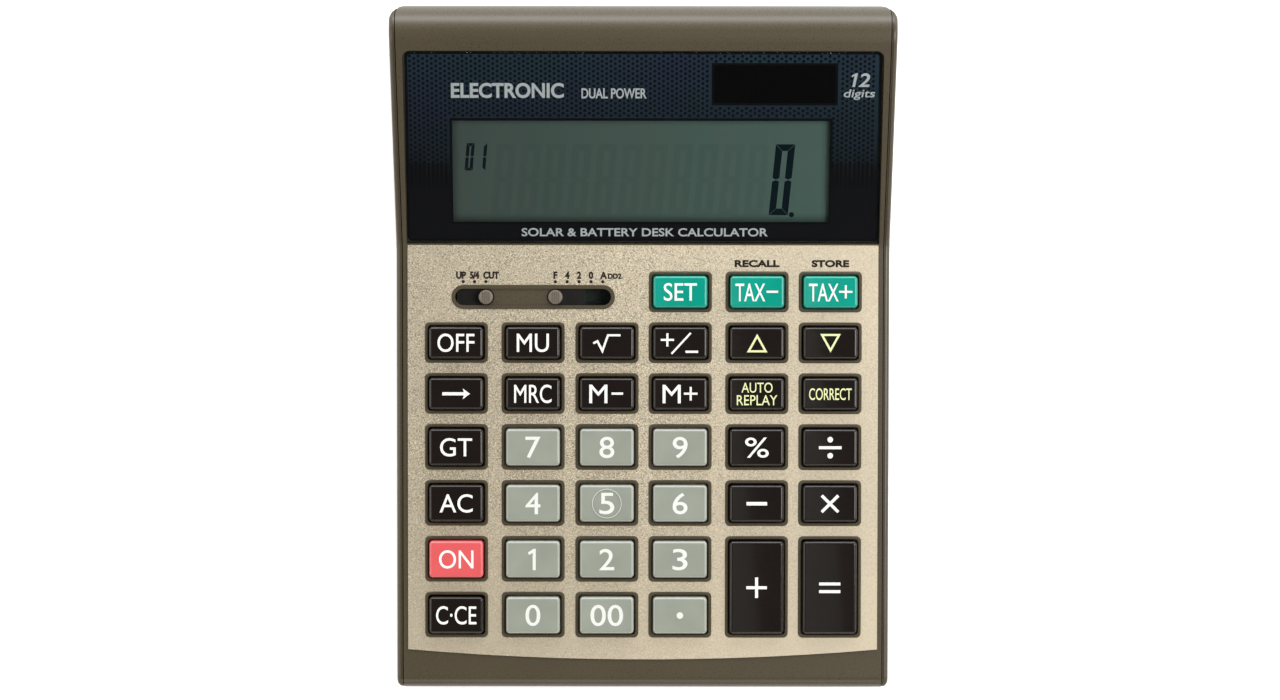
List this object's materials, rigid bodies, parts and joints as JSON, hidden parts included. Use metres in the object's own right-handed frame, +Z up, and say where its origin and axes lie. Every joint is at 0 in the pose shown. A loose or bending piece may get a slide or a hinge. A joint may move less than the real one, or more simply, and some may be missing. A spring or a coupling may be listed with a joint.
{
  "type": "desktop calculator",
  "caption": "Solar and battery desk calculator with a sloped display head, sprung push keys, two slide switches and a hinged battery door.",
  "frame": {"origin": "centre of the footprint, on the plane that the rubber feet stand on", "axes": "+X to the right of the keys, +Y from the front edge to the display end, +Z up"},
  "size_m": [0.1438, 0.195, 0.0345],
  "materials": {
    "case_brown": "fine satin texture",
    "plate": "blasted, champagne anodised",
    "lens": "polished clear sheet",
    "black_key": "polished",
    "pale_key": "polished",
    "green_key": "polished",
    "red_key": "polished",
    "knob": "satin",
    "contact_metal": "nickel plated",
    "dome_rubber": "matt",
    "board": "lacquered board",
    "resin": "cast resin",
    "lcd": "polarised display glass",
    "frame_plastic": "moulded",
    "film": "polyimide film",
    "solar": "dark cell behind glass",
    "cell_jacket": "printed jacket",
    "wire_jacket": "insulation",
    "screw_steel": "zinc plated",
    "foot_rubber": "matt"
  },
  "bodies": {
    "case": {"battery_cell": "cell_jacket", "battery_plate_contact": "contact_metal", "battery_spring_contact": "contact_metal", "board_screws": "screw_steel", "bottom_case": "case_brown", "case_screws": "screw_steel", "circuit_board": "board", "controller_chip": "resin", "display_lens": "lens", "face_plate": "plate", "lcd_flex": "film", "lcd_frame": "frame_plastic", "lcd_glass": "lcd", "power_wires": "wire_jacket", "rubber_dome_sheet": "dome_rubber", "rubber_feet": "foot_rubber", "solar_cell": "solar", "top_case": "case_brown"},
    "rounding_switch": {"rounding_switch_knob": "knob", "rounding_switch_wiper": "contact_metal"},
    "decimal_switch": {"decimal_switch_knob": "knob", "decimal_switch_wiper": "contact_metal"},
    "battery_door": {"battery_door": "case_brown"},
    "key_0_cap": {"key_0": "pale_key"},
    "key_00_cap": {"key_00": "pale_key"},
    "key_1_cap": {"key_1": "pale_key"},
    "key_2_cap": {"key_2": "pale_key"},
    "key_3_cap": {"key_3": "pale_key"},
    "key_4_cap": {"key_4": "pale_key"},
    "key_5_cap": {"key_5": "pale_key"},
    "key_6_cap": {"key_6": "pale_key"},
    "key_7_cap": {"key_7": "pale_key"},
    "key_8_cap": {"key_8": "pale_key"},
    "key_9_cap": {"key_9": "pale_key"},
    "key_all_clear_cap": {"key_all_clear": "black_key"},
    "key_auto_replay_cap": {"key_auto_replay": "black_key"},
    "key_backspace_cap": {"key_backspace": "black_key"},
    "key_clear_entry_cap": {"key_clear_entry": "black_key"},
    "key_correct_cap": {"key_correct": "black_key"},
    "key_decimal_point_cap": {"key_decimal_point": "pale_key"},
    "key_divide_cap": {"key_divide": "black_key"},
    "key_equals_cap": {"key_equals": "black_key"},
    "key_grand_total_cap": {"key_grand_total": "black_key"},
    "key_mark_up_cap": {"key_mark_up": "black_key"},
    "key_memory_minus_cap": {"key_memory_minus": "black_key"},
    "key_memory_plus_cap": {"key_memory_plus": "black_key"},
    "key_memory_recall_cap": {"key_memory_recall": "black_key"},
    "key_minus_cap": {"key_minus": "black_key"},
    "key_multiply_cap": {"key_multiply": "black_key"},
    "key_off_cap": {"key_off": "black_key"},
    "key_on_cap": {"key_on": "red_key"},
    "key_percent_cap": {"key_percent": "black_key"},
    "key_plus_cap": {"key_plus": "black_key"},
    "key_set_cap": {"key_set": "green_key"},
    "key_sign_change_cap": {"key_sign_change": "black_key"},
    "key_square_root_cap": {"key_square_root": "black_key"},
    "key_step_down_cap": {"key_step_down": "black_key"},
    "key_step_up_cap": {"key_step_up": "black_key"},
    "key_tax_minus_cap": {"key_tax_minus": "green_key"},
    "key_tax_plus_cap": {"key_tax_plus": "green_key"}
  },
  "joints": [
    {"name": "rounding_switch_slide", "type": "slide", "parent": "case", "child": "rounding_switch", "axis": [1, 0, 0], "range_m": [-0.00652, 0]},
    {"name": "decimal_switch_slide", "type": "slide", "parent": "case", "child": "decimal_switch", "axis": [1, 0, 0], "range_m": [0, 0.0136]},
    {"name": "battery_door_hinge", "type": "hinge", "parent": "case", "child": "battery_door", "pos_m": [0, 0.0579, 0.0019], "axis": [1, 0, 0], "range_deg": [-100, 0]},
    {"name": "key_0_press", "type": "slide", "parent": "case", "child": "key_0_cap", "axis": [0, 0.0419, -0.9991], "range_m": [0, 0.0015], "stiffness_N_per_m": 250, "springref_m": -0.0015, "deforming": ["rubber_dome_sheet"]},
    {"name": "key_00_press", "type": "slide", "parent": "case", "child": "key_00_cap", "axis": [0, 0.0419, -0.9991], "range_m": [0, 0.0015], "stiffness_N_per_m": 250, "springref_m": -0.0015, "deforming": ["rubber_dome_sheet"]},
    {"name": "key_1_press", "type": "slide", "parent": "case", "child": "key_1_cap", "axis": [0, 0.0419, -0.9991], "range_m": [0, 0.0015], "stiffness_N_per_m": 250, "springref_m": -0.0015, "deforming": ["rubber_dome_sheet"]},
    {"name": "key_2_press", "type": "slide", "parent": "case", "child": "key_2_cap", "axis": [0, 0.0419, -0.9991], "range_m": [0, 0.0015], "stiffness_N_per_m": 250, "springref_m": -0.0015, "deforming": ["rubber_dome_sheet"]},
    {"name": "key_3_press", "type": "slide", "parent": "case", "child": "key_3_cap", "axis": [0, 0.0419, -0.9991], "range_m": [0, 0.0015], "stiffness_N_per_m": 250, "springref_m": -0.0015, "deforming": ["rubber_dome_sheet"]},
    {"name": "key_4_press", "type": "slide", "parent": "case", "child": "key_4_cap", "axis": [0, 0.0419, -0.9991], "range_m": [0, 0.0015], "stiffness_N_per_m": 250, "springref_m": -0.0015, "deforming": ["rubber_dome_sheet"]},
    {"name": "key_5_press", "type": "slide", "parent": "case", "child": "key_5_cap", "axis": [0, 0.0419, -0.9991], "range_m": [0, 0.0015], "stiffness_N_per_m": 250, "springref_m": -0.0015, "deforming": ["rubber_dome_sheet"]},
    {"name": "key_6_press", "type": "slide", "parent": "case", "child": "key_6_cap", "axis": [0, 0.0419, -0.9991], "range_m": [0, 0.0015], "stiffness_N_per_m": 250, "springref_m": -0.0015, "deforming": ["rubber_dome_sheet"]},
    {"name": "key_7_press", "type": "slide", "parent": "case", "child": "key_7_cap", "axis": [0, 0.0419, -0.9991], "range_m": [0, 0.0015], "stiffness_N_per_m": 250, "springref_m": -0.0015, "deforming": ["rubber_dome_sheet"]},
    {"name": "key_8_press", "type": "slide", "parent": "case", "child": "key_8_cap", "axis": [0, 0.0419, -0.9991], "range_m": [0, 0.0015], "stiffness_N_per_m": 250, "springref_m": -0.0015, "deforming": ["rubber_dome_sheet"]},
    {"name": "key_9_press", "type": "slide", "parent": "case", "child": "key_9_cap", "axis": [0, 0.0419, -0.9991], "range_m": [0, 0.0015], "stiffness_N_per_m": 250, "springref_m": -0.0015, "deforming": ["rubber_dome_sheet"]},
    {"name": "key_all_clear_press", "type": "slide", "parent": "case", "child": "key_all_clear_cap", "axis": [0, 0.0419, -0.9991], "range_m": [0, 0.0015], "stiffness_N_per_m": 250, "springref_m": -0.0015, "deforming": ["rubber_dome_sheet"]},
    {"name": "key_auto_replay_press", "type": "slide", "parent": "case", "child": "key_auto_replay_cap", "axis": [0, 0.0419, -0.9991], "range_m": [0, 0.0015], "stiffness_N_per_m": 250, "springref_m": -0.0015, "deforming": ["rubber_dome_sheet"]},
    {"name": "key_backspace_press", "type": "slide", "parent": "case", "child": "key_backspace_cap", "axis": [0, 0.0419, -0.9991], "range_m": [0, 0.0015], "stiffness_N_per_m": 250, "springref_m": -0.0015, "deforming": ["rubber_dome_sheet"]},
    {"name": "key_clear_entry_press", "type": "slide", "parent": "case", "child": "key_clear_entry_cap", "axis": [0, 0.0419, -0.9991], "range_m": [0, 0.0015], "stiffness_N_per_m": 250, "springref_m": -0.0015, "deforming": ["rubber_dome_sheet"]},
    {"name": "key_correct_press", "type": "slide", "parent": "case", "child": "key_correct_cap", "axis": [0, 0.0419, -0.9991], "range_m": [0, 0.0015], "stiffness_N_per_m": 250, "springref_m": -0.0015, "deforming": ["rubber_dome_sheet"]},
    {"name": "key_decimal_point_press", "type": "slide", "parent": "case", "child": "key_decimal_point_cap", "axis": [0, 0.0419, -0.9991], "range_m": [0, 0.0015], "stiffness_N_per_m": 250, "springref_m": -0.0015, "deforming": ["rubber_dome_sheet"]},
    {"name": "key_divide_press", "type": "slide", "parent": "case", "child": "key_divide_cap", "axis": [0, 0.0419, -0.9991], "range_m": [0, 0.0015], "stiffness_N_per_m": 250, "springref_m": -0.0015, "deforming": ["rubber_dome_sheet"]},
    {"name": "key_equals_press", "type": "slide", "parent": "case", "child": "key_equals_cap", "axis": [0, 0.0419, -0.9991], "range_m": [0, 0.0015], "stiffness_N_per_m": 350, "springref_m": -0.0015, "deforming": ["rubber_dome_sheet"]},
    {"name": "key_grand_total_press", "type": "slide", "parent": "case", "child": "key_grand_total_cap", "axis": [0, 0.0419, -0.9991], "range_m": [0, 0.0015], "stiffness_N_per_m": 250, "springref_m": -0.0015, "deforming": ["rubber_dome_sheet"]},
    {"name": "key_mark_up_press", "type": "slide", "parent": "case", "child": "key_mark_up_cap", "axis": [0, 0.0419, -0.9991], "range_m": [0, 0.0015], "stiffness_N_per_m": 250, "springref_m": -0.0015, "deforming": ["rubber_dome_sheet"]},
    {"name": "key_memory_minus_press", "type": "slide", "parent": "case", "child": "key_memory_minus_cap", "axis": [0, 0.0419, -0.9991], "range_m": [0, 0.0015], "stiffness_N_per_m": 250, "springref_m": -0.0015, "deforming": ["rubber_dome_sheet"]},
    {"name": "key_memory_plus_press", "type": "slide", "parent": "case", "child": "key_memory_plus_cap", "axis": [0, 0.0419, -0.9991], "range_m": [0, 0.0015], "stiffness_N_per_m": 250, "springref_m": -0.0015, "deforming": ["rubber_dome_sheet"]},
    {"name": "key_memory_recall_press", "type": "slide", "parent": "case", "child": "key_memory_recall_cap", "axis": [0, 0.0419, -0.9991], "range_m": [0, 0.0015], "stiffness_N_per_m": 250, "springref_m": -0.0015, "deforming": ["rubber_dome_sheet"]},
    {"name": "key_minus_press", "type": "slide", "parent": "case", "child": "key_minus_cap", "axis": [0, 0.0419, -0.9991], "range_m": [0, 0.0015], "stiffness_N_per_m": 250, "springref_m": -0.0015, "deforming": ["rubber_dome_sheet"]},
    {"name": "key_multiply_press", "type": "slide", "parent": "case", "child": "key_multiply_cap", "axis": [0, 0.0419, -0.9991], "range_m": [0, 0.0015], "stiffness_N_per_m": 250, "springref_m": -0.0015, "deforming": ["rubber_dome_sheet"]},
    {"name": "key_off_press", "type": "slide", "parent": "case", "child": "key_off_cap", "axis": [0, 0.0419, -0.9991], "range_m": [0, 0.0015], "stiffness_N_per_m": 250, "springref_m": -0.0015, "deforming": ["rubber_dome_sheet"]},
    {"name": "key_on_press", "type": "slide", "parent": "case", "child": "key_on_cap", "axis": [0, 0.0419, -0.9991], "range_m": [0, 0.0015], "stiffness_N_per_m": 250, "springref_m": -0.0015, "deforming": ["rubber_dome_sheet"]},
    {"name": "key_percent_press", "type": "slide", "parent": "case", "child": "key_percent_cap", "axis": [0, 0.0419, -0.9991], "range_m": [0, 0.0015], "stiffness_N_per_m": 250, "springref_m": -0.0015, "deforming": ["rubber_dome_sheet"]},
    {"name": "key_plus_press", "type": "slide", "parent": "case", "child": "key_plus_cap", "axis": [0, 0.0419, -0.9991], "range_m": [0, 0.0015], "stiffness_N_per_m": 350, "springref_m": -0.0015, "deforming": ["rubber_dome_sheet"]},
    {"name": "key_set_press", "type": "slide", "parent": "case", "child": "key_set_cap", "axis": [0, 0.0419, -0.9991], "range_m": [0, 0.0015], "stiffness_N_per_m": 250, "springref_m": -0.0015, "deforming": ["rubber_dome_sheet"]},
    {"name": "key_sign_change_press", "type": "slide", "parent": "case", "child": "key_sign_change_cap", "axis": [0, 0.0419, -0.9991], "range_m": [0, 0.0015], "stiffness_N_per_m": 250, "springref_m": -0.0015, "deforming": ["rubber_dome_sheet"]},
    {"name": "key_square_root_press", "type": "slide", "parent": "case", "child": "key_square_root_cap", "axis": [0, 0.0419, -0.9991], "range_m": [0, 0.0015], "stiffness_N_per_m": 250, "springref_m": -0.0015, "deforming": ["rubber_dome_sheet"]},
    {"name": "key_step_down_press", "type": "slide", "parent": "case", "child": "key_step_down_cap", "axis": [0, 0.0419, -0.9991], "range_m": [0, 0.0015], "stiffness_N_per_m": 250, "springref_m": -0.0015, "deforming": ["rubber_dome_sheet"]},
    {"name": "key_step_up_press", "type": "slide", "parent": "case", "child": "key_step_up_cap", "axis": [0, 0.0419, -0.9991], "range_m": [0, 0.0015], "stiffness_N_per_m": 250, "springref_m": -0.0015, "deforming": ["rubber_dome_sheet"]},
    {"name": "key_tax_minus_press", "type": "slide", "parent": "case", "child": "key_tax_minus_cap", "axis": [0, 0.0419, -0.9991], "range_m": [0, 0.0015], "stiffness_N_per_m": 250, "springref_m": -0.0015, "deforming": ["rubber_dome_sheet"]},
    {"name": "key_tax_plus_press", "type": "slide", "parent": "case", "child": "key_tax_plus_cap", "axis": [0, 0.0419, -0.9991], "range_m": [0, 0.0015], "stiffness_N_per_m": 250, "springref_m": -0.0015, "deforming": ["rubber_dome_sheet"]}
  ]
}
